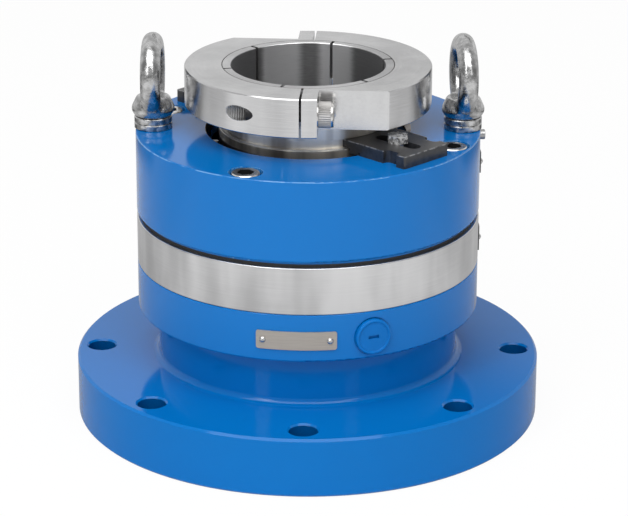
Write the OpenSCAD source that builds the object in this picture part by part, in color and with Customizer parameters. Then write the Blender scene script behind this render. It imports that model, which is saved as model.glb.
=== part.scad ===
// Double mechanical seal: a cartridge that seals a vertical mixer shaft with two pairs of faces.
// Millimetres. +Z runs up the shaft, and the origin is on its axis at the flange's bottom face.

/* [Shaft sleeve] */
// Diameter of the shaft that the sleeve takes
shaft_d = 100; // [98:0.5:102]
// Wall of the sleeve
sleeve_wall = 5.7; // [5.2:0.1:6.2]
// Height of the sleeve's lower end above the mounting face
sleeve_lift = 4; // [2:0.5:6]
// Thickness of the flange at the sleeve's lower end
sleeve_flange_t = 16; // [14:0.5:18]
// Number of axial slots at the sleeve's upper end
slot_count = 6; // [4:1:8]
// Width of a slot
slot_w = 2; // [1.5:0.5:3]
// Depth of a slot from the sleeve's top
slot_l = 32; // [26:1:33]
// Direction of the first slot in degrees
slot_turn = 12.5; // [0:0.5:30]
// Chamfer at both ends of the sleeve's bore
bore_chamfer = 0.5; // [0.3:0.1:1.2]

/* [Face rings] */
// Radial gap between the sleeve and the rotary rings
rotary_gap = 3.3; // [2.5:0.1:4]
// Radial width of a rotary ring
rotary_w = 11; // [10:0.5:12]
// Height of a rotary ring
rotary_h = 14; // [12:0.5:16]
// Depth of the seat that holds a rotary ring
seat_depth = 5; // [4:0.5:6]
// Wall around the seat
seat_wall = 3; // [2.5:0.1:3.5]
// Radial gap between the sleeve and the tail of a seal ring
tail_gap = 3.8; // [3.4:0.1:4.2]
// Wall of the tail
tail_wall = 3.5; // [3:0.1:4]
// Radial width of the sealing nose
nose_w = 5; // [4:0.5:6]
// Height of the sealing nose
nose_h = 3; // [2:0.5:4]
// Thickness of the seal ring's flange
seal_flange_t = 10; // [9:0.5:12]
// Free way behind the seal ring's flange
skirt_gap = 5; // [4:0.5:6]
// How far a seal ring can be pushed back
seal_travel = 2; // [1:0.5:2]

/* [Spring carriers] */
// Length of the skirt round the tail
skirt_l = 13; // [12:0.5:15]
// Thickness of the carrier's plate
plate_t = 14; // [12:0.5:15]
// Height of the shoulder that the plate seats against
shoulder_w = 6; // [5:0.5:7]
// Number of springs in a carrier
spring_count = 6; // [4:2:8]
// Outer diameter of a spring
spring_d = 5.7; // [5:0.1:6]
// Wire of a spring
spring_wire = 0.9; // [0.7:0.1:1]
// Turns of a spring
spring_turns = 5; // [4:1:6]
// Depth of a spring pocket above the skirt
pocket_over = 6; // [5:0.5:7]
// Diameter of an anti-rotation pin
guide_pin_d = 5; // [4:0.5:5.5]

/* [Mounting flange] */
// Outer diameter of the flange
flange_d = 306; // [300:1:320]
// Thickness of the flange
flange_t = 39; // [36:1:42]
// Chamfer on the flange's edges
flange_chamfer = 1.5; // [1:0.1:2.5]
// Distance of the bolt holes from the flange's rim
flange_hole_edge = 15.5; // [14:0.5:20]
// Number of bolt holes
flange_holes = 8; // [8:4:12]
// Direction of the first bolt hole in degrees
flange_hole_turn = -0.9; // [-5:0.1:5]
// Diameter of a bolt hole
flange_hole_d = 18; // [16:0.5:20]
// Chamfer at the mouth of a bolt hole
hole_chamfer = 1.2; // [0.8:0.1:1.6]
// Outer diameter of the neck
neck_d = 197; // [188:1:200]
// Height of the neck
neck_h = 34.5; // [33:0.5:38]
// Fillet at the foot of the neck
neck_fillet = 4.5; // [3:0.5:6]

/* [Housing] */
// Outer diameter of the port ring, the band and the cover
body_d = 224; // [222:1:230]
// Height of the port ring
port_ring_h = 31.5; // [30:0.5:34]
// Height of the stainless band
band_h = 31; // [28:1:34]
// Thickness of the gasket between band and cover
gasket_t = 2; // [1.5:0.1:3]
// How far the gasket and the cover's step lie back from the rim
gasket_recess = 2.7; // [2:0.1:3.5]
// Height of the cover
cover_h = 54.5; // [52.5:0.5:56.5]
// Height of the step at the cover's lower edge
cover_step_h = 1.5; // [1:0.1:2]
// Diameter of the opening in the cover
cover_opening_d = 128.2; // [126:0.2:130]
// Bare chamfer round the opening
opening_chamfer = 2.7; // [2:0.1:3.2]
// Rounding of the body's lower edges
edge_round = 1.6; // [1:0.1:2]
// Edge break on the body's upper edges
edge_break = 0.8; // [0.4:0.1:1.2]

/* [Cover screws] */
// Thread of the cover screws
cover_screw_d = 12; // [10:2:12]
// Length of the cover screws
cover_screw_l = 95; // [85:5:95]
// Distance of the cover screws from the cover's rim
cover_screw_edge = 12; // [11.5:0.5:13]
// Direction of the first cover screw in degrees
cover_screw_turn = -22.5; // [-25:0.5:-20]
// Radial clearance between a screw head and its counterbore
counterbore_gap = 1.8; // [1:0.1:2]

/* [Eye bolts] */
// Thread of the eye bolts
eye_thread_d = 12; // [10:1:12]
// Distance of the eye bolts from the cover's rim
eye_edge = 11.5; // [11:0.5:13]
// Outer diameter of an eye
eye_outer_d = 54; // [50:1:56]
// Thickness of the eye's ring
eye_section_d = 13; // [11.5:0.5:14]
// Top of an eye above the cover
eye_top_h = 63; // [60:0.5:66]
// Widest diameter of the boss below the eye
eye_boss_d = 28; // [26:0.5:29]
// Outer diameter of a washer below the eye
eye_washer_d = 24.6; // [22:0.2:26]
// Thickness of a washer
eye_washer_t = 4.1; // [3.5:0.1:4.6]
// Turn of the left eye in degrees
eye_turn_left = -1.5; // [-10:0.5:10]
// Turn of the right eye in degrees
eye_turn_right = 6; // [-10:0.5:10]

/* [Setting clips] */
// Thickness of a clip
clip_t = 8; // [7:0.5:9]
// Width of a clip
clip_w = 40.5; // [36:0.5:42]
// Length of a clip beyond its bolt
clip_reach = 24.5; // [23:0.5:26]
// Rounding of the clip's corners
clip_corner = 1.2; // [0.8:0.1:3]
// Width of the slot
clip_slot_w = 9; // [8.6:0.1:10]
// Length left between the slot and the clip's end
clip_slot_edge = 6.5; // [5:0.5:7.5]
// Distance of the side notches from the clip's end
clip_notch_edge = 12.5; // [11:0.5:14]
// Length of a side notch
clip_notch_l = 11; // [9:0.5:12]
// Depth of a side notch
clip_notch_depth = 4; // [3:0.5:5]
// Rounding inside a side notch
clip_notch_round = 3; // [1:0.5:3]
// How far a clip slides out of the sleeve's groove
clip_travel = 12; // [8:0.5:12.5]
// Distance of the clip bolts from the cover's opening
clip_bolt_edge = 15; // [13:0.5:17]
// Thread of a clip bolt
clip_bolt_d = 8; // [6:1:8]
// Length of a clip bolt
clip_bolt_l = 16; // [14:1:16]
// Direction of the front clip in degrees
clip_turn = -44.3; // [-48:0.1:-42]
// Depth of the sleeve's groove that takes the clips
clip_groove_depth = 1.5; // [1:0.1:1.8]

/* [Clamp ring] */
// Outer diameter of the clamp ring
clamp_d = 160; // [156:1:164]
// Height of the clamp ring
clamp_h = 25.5; // [24:0.5:28]
// Height of the clamp ring above the cover
clamp_lift = 17.5; // [16:0.5:20]
// Gap between the halves
clamp_split = 1.5; // [1:0.5:3]
// Turn of the ring in degrees
clamp_turn = -3.5; // [-10:0.5:10]
// Length of the lug beside the split
clamp_lug_l = 10.5; // [9:0.5:12]
// Distance of the milled flat from the axis
clamp_flat_r = 58.5; // [57.5:0.1:59.5]
// Thread of the clamp screws
clamp_screw_d = 10; // [8:1:10]
// Length of the clamp screws
clamp_screw_l = 45; // [40:1:48]

/* [Drive collar] */
// Wall of the nose that shows in the cover's opening
collar_nose_wall = 2.3; // [1.8:0.1:2.8]
// Thickness of the collar's flange
collar_flange_t = 14; // [13:0.5:15]
// Height of the nose above the cover
collar_nose_lift = 2.4; // [1.6:0.2:3.2]
// Radial gap round the collar's flange
collar_side_gap = 4.8; // [4:0.1:6]
// Gap above the collar's flange
collar_top_gap = 2.5; // [2:0.1:3]
// Thread of the set screws
set_screw_d = 6; // [5:1:6]
// Length of the set screws
set_screw_l = 12; // [10:1:12]
// Diameter of the pins that drive the rotary rings
drive_pin_d = 4; // [3:0.5:4]
// Direction of the drive pins in degrees
drive_pin_turn = -166; // [-180:1:-150]

/* [Pumping ring] */
// Height of the pumping ring
pump_h = 18; // [14:1:20]
// Height of its lower face above the port ring's lower face
pump_lift = 8.5; // [7:0.5:9.5]
// Wall of its hub
pump_hub_wall = 10; // [8:0.5:11]
// Number of vanes
vane_count = 12; // [8:1:16]
// Radial gap between the vanes and the chamber
vane_gap = 6; // [4:0.5:8]
// Thickness of a vane
vane_t = 4; // [3:0.5:5]
// Slant of a vane in degrees
vane_slant = 28; // [10:1:35]

/* [Ports and plates] */
// Height of the ports above the port ring's lower face
port_lift = 15.1; // [14.5:0.1:16]
// Direction of the outlet port in degrees
outlet_turn = -68.5; // [-72:0.5:-64]
// Direction of the inlet port in degrees
inlet_turn = 111.5; // [108:0.5:116]
// Diameter of the plug's rim
plug_d = 23.5; // [21:0.5:25]
// Thickness of the plug's rim
plug_t = 3.6; // [3:0.1:4.5]
// Diameter of the plug's thread
plug_thread_d = 16; // [14:0.5:17]
// Length of the plug's thread
plug_thread_l = 10; // [8:0.5:12]
// Depth of the spot face that the plug seats on
port_spot_depth = 0.8; // [0.4:0.1:1.2]
// Diameter of the passage into the chamber
passage_d = 10; // [8:0.5:12]
// Thickness of a plate
plate_sheet = 1; // [0.8:0.1:1.4]
// Width of a plate
plate_w = 50.8; // [44:0.2:54]
// Height of the front plate
label_h = 12; // [10:0.5:14]
// Direction of the front plate's centre in degrees
label_turn = -93.5; // [-96:0.5:-92]
// Height of the front plate's centre below the ports
label_drop = 0.5; // [0:0.5:2]
// Height of the plate on the band
band_plate_h = 17; // [15:0.5:19]
// Height of its centre above the band's lower edge
band_plate_lift = 11; // [10.5:0.5:17]
// Height of the plate on the cover
cover_plate_h = 14.3; // [12:0.1:16]
// Height of its centre above the cover's lower edge
cover_plate_lift = 30.5; // [10:0.5:34]
// Direction of the centres of the two side plates in degrees
side_turn = 13; // [10:0.5:16]
// Head of a drive screw
drive_screw_d = 4.2; // [3.6:0.1:4.8]
// Thread of the vent screw
vent_screw_d = 4; // [3:0.5:5]
// Length of the vent screw below its head
vent_screw_l = 5; // [4:0.5:8]
// Height of the vent screw below the cover's top
vent_drop = 7.5; // [6:0.5:9]
// Direction of the vent screw in degrees
vent_turn = 5; // [0:0.5:10]

/* [Hidden] */
$fn = 96;

// Cuts run this far past the faces that they open
over = 1;
// Clearance of a screw in its thread, and of parts that seat without play
thread_gap = 0.05;
seat_gap = 0.05;
// Clearance of a ring that slides or of a screw in its through hole
slide_gap = 0.2;
through_gap = 0.3;
clip_gap = 0.3;

// Heights of the housing's joints
neck_z = flange_t;
port_ring_z = neck_z + neck_h;
band_z = port_ring_z + port_ring_h;
gasket_z = band_z + band_h;
cover_z = gasket_z + gasket_t;
top_z = cover_z + cover_h;
clamp_z = top_z + clamp_lift;
sleeve_top_z = clamp_z + clamp_h;

// Radii of the housing
flange_r = flange_d / 2;
bolt_circle_r = flange_r - flange_hole_edge;
neck_r = neck_d / 2;
body_r = body_d / 2;
opening_r = cover_opening_d / 2;
cover_screw_r = body_r - cover_screw_edge;
eye_r = body_r - eye_edge;

// Radii of the rotor
shaft_r = shaft_d / 2;
sleeve_r = shaft_r + sleeve_wall;
groove_r = sleeve_r - clip_groove_depth;
collar_nose_r = sleeve_r + collar_nose_wall;
rotary_in_r = sleeve_r + rotary_gap;
rotary_out_r = rotary_in_r + rotary_w;
seat_r = rotary_out_r + slide_gap;
rotor_flange_r = seat_r + seat_wall;
clamp_r = clamp_d / 2;
clamp_screw_r = (clamp_flat_r + clamp_r) / 2;
clamp_bore_r = sleeve_r + seat_gap;
clamp_bevel = 0.7;
pump_hub_r = sleeve_r + pump_hub_wall;

// O-ring sections
tail_oring_d = 3.1;
carrier_oring_d = 3.5;
rotary_oring_d = 3.6;
shaft_oring_d = 3.1;
collar_oring_d = 1.9;
ring_oring_d = 3;
flange_oring_d = 4.4;
// Extra width of an O-ring's groove
groove_play = 1;
function groove_w(section_d) = section_d + groove_play;

// One set of seal ring, springs and carrier, measured from its sealing face along the springs
tail_in_r = sleeve_r + tail_gap;
tail_out_r = tail_in_r + tail_wall;
skirt_in_r = tail_out_r + slide_gap;
pocket_d = spring_d + 0.7;
pocket_wall = 1.4;
spring_r = skirt_in_r + tail_oring_d + pocket_wall + pocket_d / 2;
skirt_out_r = spring_r + pocket_d / 2 + pocket_wall;
seal_flange_r = skirt_out_r - 0.6;
lower_bore_r = skirt_out_r + 2 * slide_gap;
chamber_r = lower_bore_r + shoulder_w;
carrier_r = chamber_r - seat_gap;
flange_oring_r = (lower_bore_r + neck_r) / 2;
ring_oring_r = chamber_r + 7;
nose_in_r = tail_in_r + 1.5;
nose_out_r = nose_in_r + nose_w;
flange_back = nose_h + seal_flange_t;
skirt_start = flange_back + skirt_gap;
tail_groove_start = skirt_start + 4;
plate_start = skirt_start + skirt_l;
plate_end = plate_start + plate_t;
tail_room = seal_travel + 2;
lip_r = tail_in_r - 1;
pocket_end = plate_start + pocket_over;
guide_pin_depth = 4.5;
guide_pin_turn = 180 / spring_count;
retaining_t = 4;
retaining_depth = 2.4;
retaining_w = 6.4;
retaining_start = plate_end + seat_gap;
rebate = rotary_oring_d + 0.4;

// Heights of the two sealing faces
inboard_seat_z = sleeve_lift + sleeve_flange_t - seat_depth;
inboard_face_z = inboard_seat_z + rotary_h;
band_shoulder_h = 10;
outboard_face_z = gasket_z - band_shoulder_h + plate_start;
outboard_seat_z = outboard_face_z + rotary_h;
collar_z = outboard_seat_z - seat_depth;
collar_flange_top = collar_z + collar_flange_t;
collar_top = top_z + collar_nose_lift;
cover_bore_r = rotor_flange_r + collar_side_gap;
cover_ceiling_z = collar_flange_top + collar_top_gap;

// Rings and pins on the sleeve
drive_pin_grip = 4;
drive_pin_sink = 7;
drive_pin_r = rotary_in_r + drive_pin_d / 2 + 0.6;
drive_pin_top = collar_flange_top + 8;
drive_pin_sweep_r = drive_pin_r + drive_pin_d / 2 + slide_gap;
shaft_oring_step = 6.6;
shaft_oring_z = sleeve_lift + 5;
collar_oring_z = collar_flange_top + 3.5;
slot_z = sleeve_top_z - slot_l;
set_screw_z = (outboard_seat_z + collar_flange_top) / 2;
set_screw_count = 3;
function shaft_oring_at(i) = shaft_oring_z + shaft_oring_step * i;

// Clips
clip_turns = [clip_turn, clip_turn + 180];
clip_lip_z = top_z + collar_nose_lift + 2 * clip_gap;
clip_nose_r = groove_r + clip_gap;
clip_bolt_r = opening_r + clip_bolt_edge;
clip_end_r = clip_bolt_r + clip_reach;
clip_slot_end = clip_end_r - clip_slot_edge;
clip_notch_r = clip_end_r - clip_notch_edge;
clip_relief_r = collar_nose_r + 5 * clip_gap;
clip_slot_start = clip_bolt_r - clip_travel - 2 * clip_gap;

// Screw forms that follow from the thread
function head_d(thread) = 1.5 * thread + (thread < 12 ? 1 : 0);
function socket_af(thread) = 0.82 * thread;
function hex_af(thread) = 1.55 * thread;
function hex_head_h(thread) = 0.6 * thread;

// Places of the screws round the cover
function cover_screw_at(i) = cover_screw_turn + 90 * i;
cover_screw_seat_z = top_z - cover_screw_d;
cover_screw_tip_z = cover_screw_seat_z - cover_screw_l;

// Eye bolts
eye_seat_z = top_z + 2 * eye_washer_t;
eye_centre_z = top_z + eye_top_h - eye_outer_d / 2;
eye_ring_r = (eye_outer_d - eye_section_d) / 2;
eye_hole_z = eye_centre_z - eye_outer_d / 2 + eye_section_d;
eye_hole_depth = 2 * eye_thread_d;
washer_edge = 0.5;

// Ports, plates and pumping ring
port_z = port_ring_z + port_lift;
port_face_r = body_r - port_spot_depth;
port_thread_l = plug_thread_l + 4;
pump_z = port_ring_z + pump_lift;
pump_out_r = chamber_r - vane_gap;
label_z = port_z - label_drop;
band_plate_z = band_z + band_plate_lift;
cover_plate_z = cover_z + cover_plate_lift;
vent_z = top_z - vent_drop;
plate_corner = 1.5;
drive_shank_d = 2.4;
drive_hole_depth = 5;
drive_screw_spread = (plate_w / 2 - drive_screw_d) / body_r * 180 / PI;

blue = [0.07, 0.42, 0.74];
steel = [0.74, 0.75, 0.77];
bright = [0.82, 0.83, 0.85];
black = [0.12, 0.12, 0.13];
carbon = [0.20, 0.20, 0.22];
carbide = [0.33, 0.34, 0.37];

// Plain helpers

module at_angle(turn, radius) {
    rotate([0, 0, turn]) translate([radius, 0, 0]) children();
}

module radial(turn, radius, z) {
    rotate([0, 0, turn]) translate([radius, 0, z]) rotate([0, 90, 0]) children();
}

module tube(inner, outer, z0, z1) {
    difference() {
        translate([0, 0, z0]) cylinder(r = outer, h = z1 - z0);
        translate([0, 0, z0 - over]) cylinder(r = inner, h = z1 - z0 + 2 * over);
    }
}

// Section of a turned piece with rounded outer corners, lower and upper
module turned_section(inner, outer, z0, z1, lower, upper) {
    h = z1 - z0;
    translate([inner, z0 + lower]) square([outer - inner, h - lower - upper]);
    translate([inner, z0]) square([outer - inner - lower, h - upper]);
    translate([inner, z0 + lower]) square([outer - inner - upper, h - lower]);
    translate([outer - lower, z0 + lower]) circle(r = lower);
    translate([outer - upper, z1 - upper]) circle(r = upper);
}

// Section of a turned piece with both outer corners chamfered
module chamfered_section(inner, outer, z0, z1, chamfer) {
    polygon([
        [inner, z0], [outer - chamfer, z0], [outer, z0 + chamfer],
        [outer, z1 - chamfer], [outer - chamfer, z1], [inner, z1]
    ]);
}

module rounded_plate(length, width, corner) {
    square([length - 2 * corner, width], center = true);
    square([length, width - 2 * corner], center = true);
    for (x = [-1, 1], y = [-1, 1])
        translate([x * (length / 2 - corner), y * (width / 2 - corner)]) circle(r = corner);
}

module oring(centre_r, section_d, z) {
    translate([0, 0, z]) rotate_extrude() translate([centre_r, 0]) circle(d = section_d, $fn = 32);
}

// Cylinder with a chamfer at its upper edge
module chamfered_head(d, h, chamfer) {
    rotate_extrude()
        polygon([[0, 0], [d / 2, 0], [d / 2, h - chamfer], [d / 2 - chamfer, h], [0, h]]);
}

// Socket head cap screw that points down from the underside of its head
module cap_screw(thread, length) {
    difference() {
        chamfered_head(head_d(thread), thread, 0.05 * thread);
        translate([0, 0, 0.5 * thread])
            cylinder(d = socket_af(thread) / cos(30), h = thread, $fn = 6);
    }
    translate([0, 0, -length]) cylinder(r = thread / 2 - thread_gap, h = length + over / 2);
}

// Housing

module flange_section() {
    difference() {
        union() {
            chamfered_section(lower_bore_r, flange_r, 0, flange_t, flange_chamfer);
            translate([lower_bore_r, 0]) square([neck_r - lower_bore_r, band_z]);
            translate([neck_r, flange_t]) difference() {
                square(neck_fillet);
                translate([neck_fillet, neck_fillet]) circle(r = neck_fillet);
            }
            turned_section(lower_bore_r, body_r, port_ring_z, band_z, edge_round, edge_break);
        }
        translate([0, inboard_face_z + plate_start]) square([chamber_r, band_z]);
    }
}

module flange_bolt_hole(turn) {
    at_angle(turn, bolt_circle_r) {
        translate([0, 0, -over]) cylinder(d = flange_hole_d, h = flange_t + 2 * over);
        translate([0, 0, flange_t - hole_chamfer])
            cylinder(
                r1 = flange_hole_d / 2,
                r2 = flange_hole_d / 2 + hole_chamfer + over,
                h = hole_chamfer + over
            );
    }
}

// Port: passage, tapped hole and spot face for the plug's rim
module port_cut(turn) {
    radial(turn, chamber_r - over, port_z)
        cylinder(d = passage_d, h = body_r - chamber_r);
    radial(turn, port_face_r - port_thread_l, port_z)
        cylinder(d = plug_thread_d, h = port_thread_l + over);
    radial(turn, port_face_r, port_z)
        cylinder(r = plug_d / 2 + 0.75, h = port_spot_depth + 2 * over);
}

module retaining_groove(face_z, up) {
    z0 = face_z + up * retaining_start;
    z1 = z0 + up * (retaining_t + slide_gap);
    tube(lower_bore_r, chamber_r + retaining_depth + slide_gap, min(z0, z1), max(z0, z1));
}

module drive_screw_holes(turn, z) {
    for (side = [-1, 1])
        radial(turn + side * drive_screw_spread, body_r - drive_hole_depth, z)
            cylinder(r = drive_shank_d / 2 + thread_gap, h = drive_hole_depth + plate_sheet + over);
}

module mounting_flange() {
    color(blue) difference() {
        rotate_extrude() flange_section();
        for (i = [0 : flange_holes - 1]) flange_bolt_hole(flange_hole_turn + 360 / flange_holes * i);
        tube(flange_oring_r - groove_w(flange_oring_d) / 2,
            flange_oring_r + groove_w(flange_oring_d) / 2, -over, flange_oring_d + seat_gap);
        retaining_groove(inboard_face_z, 1);
        port_cut(outlet_turn);
        port_cut(inlet_turn);
        for (i = [0 : 3]) at_angle(cover_screw_at(i), cover_screw_r)
            translate([0, 0, cover_screw_tip_z - 3])
                cylinder(d = cover_screw_d, h = band_z - cover_screw_tip_z + 3 + over);
        drive_screw_holes(label_turn, label_z);
    }
}

module flange_oring() {
    color(black) oring(flange_oring_r, flange_oring_d, flange_oring_d / 2 + seat_gap);
}

module housing_ring() {
    color(steel) difference() {
        rotate_extrude() difference() {
            turned_section(lower_bore_r, body_r, band_z, gasket_z, edge_break, edge_break);
            translate([0, band_z - over])
                square([chamber_r, band_h - band_shoulder_h + over]);
        }
        tube(ring_oring_r - groove_w(ring_oring_d) / 2, ring_oring_r + groove_w(ring_oring_d) / 2,
            band_z - over, band_z + ring_oring_d);
        retaining_groove(outboard_face_z, -1);
        for (i = [0 : 3]) at_angle(cover_screw_at(i), cover_screw_r)
            translate([0, 0, band_z - over])
                cylinder(r = cover_screw_d / 2 + through_gap, h = band_h + 2 * over);
        drive_screw_holes(side_turn, band_plate_z);
    }
}

module housing_ring_oring() {
    color(black) oring(ring_oring_r, ring_oring_d, band_z + ring_oring_d / 2);
}

module ring_gasket() {
    color(black) difference() {
        tube(chamber_r + seat_gap, body_r - gasket_recess, gasket_z, cover_z);
        for (i = [0 : 3]) at_angle(cover_screw_at(i), cover_screw_r)
            translate([0, 0, gasket_z - over])
                cylinder(r = cover_screw_d / 2 + through_gap, h = gasket_t + 2 * over);
    }
}

module top_cover() {
    bore_h = cover_ceiling_z - cover_z;
    color(blue) difference() {
        rotate_extrude() difference() {
            union() {
                turned_section(opening_r, body_r, cover_z + cover_step_h, top_z, edge_round, edge_break);
                translate([opening_r, cover_z])
                    square([body_r - gasket_recess - opening_r, cover_step_h + edge_round]);
            }
            translate([0, cover_z - over]) square([cover_bore_r, bore_h + over]);
            translate([0, cover_z]) square([drive_pin_sweep_r, drive_pin_top + slide_gap - cover_z]);
            translate([opening_r, top_z]) polygon([
                [-over, -opening_chamfer - over], [-over, over],
                [opening_chamfer + over, over]
            ]);
        }
        for (i = [0 : 3]) at_angle(cover_screw_at(i), cover_screw_r) {
            translate([0, 0, cover_z - over])
                cylinder(r = cover_screw_d / 2 + through_gap, h = cover_h + 2 * over);
            translate([0, 0, cover_screw_seat_z])
                cylinder(r = head_d(cover_screw_d) / 2 + counterbore_gap, h = cover_h);
        }
        for (side = [0, 180]) at_angle(side, eye_r)
            translate([0, 0, top_z - eye_hole_depth]) cylinder(d = eye_thread_d, h = cover_h);
        for (turn = clip_turns) at_angle(turn, clip_bolt_r)
            translate([0, 0, top_z + clip_t - clip_bolt_l - 1])
                cylinder(d = clip_bolt_d, h = clip_bolt_l);
        drive_screw_holes(side_turn, cover_plate_z);
        radial(vent_turn, body_r - vent_screw_l - 1, vent_z)
            cylinder(d = vent_screw_d, h = vent_screw_l + 1 + over);
    }
}

module cover_screw(i) {
    color(steel) at_angle(cover_screw_at(i), cover_screw_r)
        translate([0, 0, cover_screw_seat_z]) cap_screw(cover_screw_d, cover_screw_l);
}

// Eye bolts with their washers

module eye_bolt(side, turn) {
    boss_r = eye_boss_d / 2;
    boss_top = eye_hole_z - 0.6;
    rim_low = 0.27 * boss_r;
    rim_high = 0.42 * boss_r;
    color(bright) at_angle(side, eye_r) {
        translate([0, 0, top_z - eye_hole_depth + 2])
            cylinder(r = eye_thread_d / 2 - thread_gap, h = eye_seat_z - top_z + eye_hole_depth);
        rotate_extrude() polygon([
            [0, eye_seat_z], [0.84 * boss_r, eye_seat_z], [boss_r, eye_seat_z + rim_low],
            [boss_r, eye_seat_z + rim_high], [0.76 * boss_r, boss_top], [0, boss_top]
        ]);
        translate([0, 0, eye_centre_z]) rotate([0, 90, turn - side])
            rotate_extrude() translate([eye_ring_r, 0]) circle(d = eye_section_d, $fn = 48);
    }
}

module eye_washers(side) {
    color(steel) at_angle(side, eye_r)
        for (i = [0, 1])
            translate([0, 0, top_z + i * eye_washer_t]) rotate_extrude()
                chamfered_section(eye_thread_d / 2 + through_gap, eye_washer_d / 2,
                    0, eye_washer_t, washer_edge);
}

// Setting clips, which hold the sleeve in place until the seal is fitted

module clip_outline() {
    length = 2 * (clip_end_r - groove_r);
    difference() {
        translate([clip_end_r - length / 2, 0]) rounded_plate(length, clip_w, clip_corner);
        circle(r = clip_nose_r);
        for (side = [-1, 1]) translate([clip_notch_r, side * clip_w / 2])
            rounded_plate(clip_notch_l, 2 * clip_notch_depth, clip_notch_round);
        for (u = [clip_slot_start, clip_slot_end - clip_slot_w / 2])
            translate([u, 0]) circle(d = clip_slot_w);
        translate([clip_slot_start, -clip_slot_w / 2])
            square([clip_slot_end - clip_slot_w / 2 - clip_slot_start, clip_slot_w]);
    }
}

module clip(turn) {
    color(black) rotate([0, 0, turn]) difference() {
        translate([0, 0, top_z]) linear_extrude(clip_t) clip_outline();
        translate([0, 0, top_z - over]) cylinder(r = clip_relief_r, h = clip_lip_z - top_z + over);
    }
}

module clip_bolt(turn) {
    color(bright) at_angle(turn, clip_bolt_r) {
        translate([0, 0, top_z + clip_t]) rotate([0, 0, 30 - turn])
            cylinder(d = hex_af(clip_bolt_d) / cos(30), h = hex_head_h(clip_bolt_d), $fn = 6);
        translate([0, 0, top_z + clip_t - clip_bolt_l])
            cylinder(r = clip_bolt_d / 2 - thread_gap, h = clip_bolt_l + over / 2);
    }
}

// Plates, their drive screws, the vent screw and the port plugs

module curved_plate(turn, z, height) {
    color(bright) difference() {
        intersection() {
            tube(body_r, body_r + plate_sheet, z - height, z + height);
            rotate([0, 0, turn]) translate([body_r / 2, 0, z]) rotate([90, 0, 90])
                linear_extrude(body_r) rounded_plate(plate_w, height, plate_corner);
        }
        drive_screw_holes(turn, z);
    }
}

module drive_screws(turn, z) {
    cap_h = 0.36 * drive_screw_d;
    ball_r = (pow(drive_screw_d / 2, 2) + pow(cap_h, 2)) / (2 * cap_h);
    color(bright) for (side = [-1, 1])
        radial(turn + side * drive_screw_spread, body_r + plate_sheet, z) {
            translate([0, 0, 1 - plate_sheet - drive_hole_depth])
                cylinder(d = drive_shank_d, h = plate_sheet + drive_hole_depth - 1 + cap_h / 2);
            intersection() {
                translate([0, 0, cap_h - ball_r]) sphere(r = ball_r, $fn = 48);
                cylinder(r = ball_r, h = ball_r);
            }
        }
}

module vent_screw() {
    color(bright) radial(vent_turn, body_r, vent_z) difference() {
        union() {
            translate([0, 0, seat_gap]) chamfered_head(1.65 * vent_screw_d, vent_screw_d, 0.3);
            translate([0, 0, -vent_screw_l])
                cylinder(r = vent_screw_d / 2 - thread_gap, h = vent_screw_l + over);
        }
        translate([0, 0, vent_screw_d / 2])
            cylinder(d = 0.75 * vent_screw_d / cos(30), h = vent_screw_d, $fn = 6);
    }
}

module port_plug(turn) {
    rim_r = plug_d / 2;
    dish_r = rim_r - 2.3;
    slot_across = 2.2;
    slot_along = 7.2;
    color(blue) radial(turn, port_face_r, port_z) difference() {
        union() {
            rotate_extrude() union() {
                square([rim_r - 1, plug_t - 0.6]);
                translate([0, 0.6]) square([rim_r, plug_t - 1.8]);
                translate([rim_r - 1.2, plug_t - 1.2]) circle(r = 1.2, $fn = 32);
            }
            translate([0, 0, -plug_thread_l])
                cylinder(r = plug_thread_d / 2 - thread_gap, h = plug_thread_l + over);
        }
        translate([0, 0, plug_t - 0.7]) cylinder(r = dish_r, h = over);
        translate([-slot_across / 2, -slot_along / 2, plug_t - 2.4])
            cube([slot_across, slot_along, plug_t]);
    }
}

// Stationary seal rings with their carriers. Each is drawn with its sealing face at zero.

module inboard() {
    translate([0, 0, inboard_face_z]) children();
}

module outboard() {
    translate([0, 0, outboard_face_z]) mirror([0, 0, 1]) children();
}

module guide_pin_places() {
    for (i = [0, 1]) at_angle(guide_pin_turn + 180 * i, spring_r) children();
}

module seal_ring() {
    color(carbon) difference() {
        rotate_extrude() polygon([
            [nose_in_r, 0], [nose_out_r, 0], [nose_out_r, nose_h], [seal_flange_r, nose_h],
            [seal_flange_r, flange_back], [tail_out_r, flange_back], [tail_out_r, plate_start],
            [tail_in_r, plate_start], [tail_in_r, nose_h], [nose_in_r, nose_h]
        ]);
        guide_pin_places() translate([0, 0, flange_back - guide_pin_depth - seal_travel - 0.5])
            cylinder(r = guide_pin_d / 2 + 2 * slide_gap, h = seal_flange_t);
    }
}

module carrier() {
    plate_groove = plate_start + plate_t / 2 - groove_w(carrier_oring_d) / 2;
    color(steel) difference() {
        rotate_extrude() polygon([
            [skirt_in_r, skirt_start], [skirt_out_r, skirt_start], [skirt_out_r, plate_start],
            [carrier_r, plate_start], [carrier_r, plate_end], [lip_r, plate_end],
            [lip_r, plate_start + tail_room], [skirt_in_r, plate_start + tail_room]
        ]);
        tube(skirt_in_r - over, skirt_in_r + tail_oring_d - slide_gap,
            tail_groove_start, tail_groove_start + groove_w(tail_oring_d));
        tube(carrier_r - carrier_oring_d, carrier_r + over,
            plate_groove, plate_groove + groove_w(carrier_oring_d));
        for (i = [0 : spring_count - 1]) at_angle(360 / spring_count * i, spring_r)
            translate([0, 0, skirt_start - over])
                cylinder(d = pocket_d, h = pocket_end - skirt_start + over);
        guide_pin_places() translate([0, 0, skirt_start - over])
            cylinder(r = guide_pin_d / 2 + seat_gap, h = skirt_l + over);
    }
}

module carrier_oring() {
    color(black) oring(chamber_r - carrier_oring_d / 2 - seat_gap, carrier_oring_d,
        plate_start + plate_t / 2);
}

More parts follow.
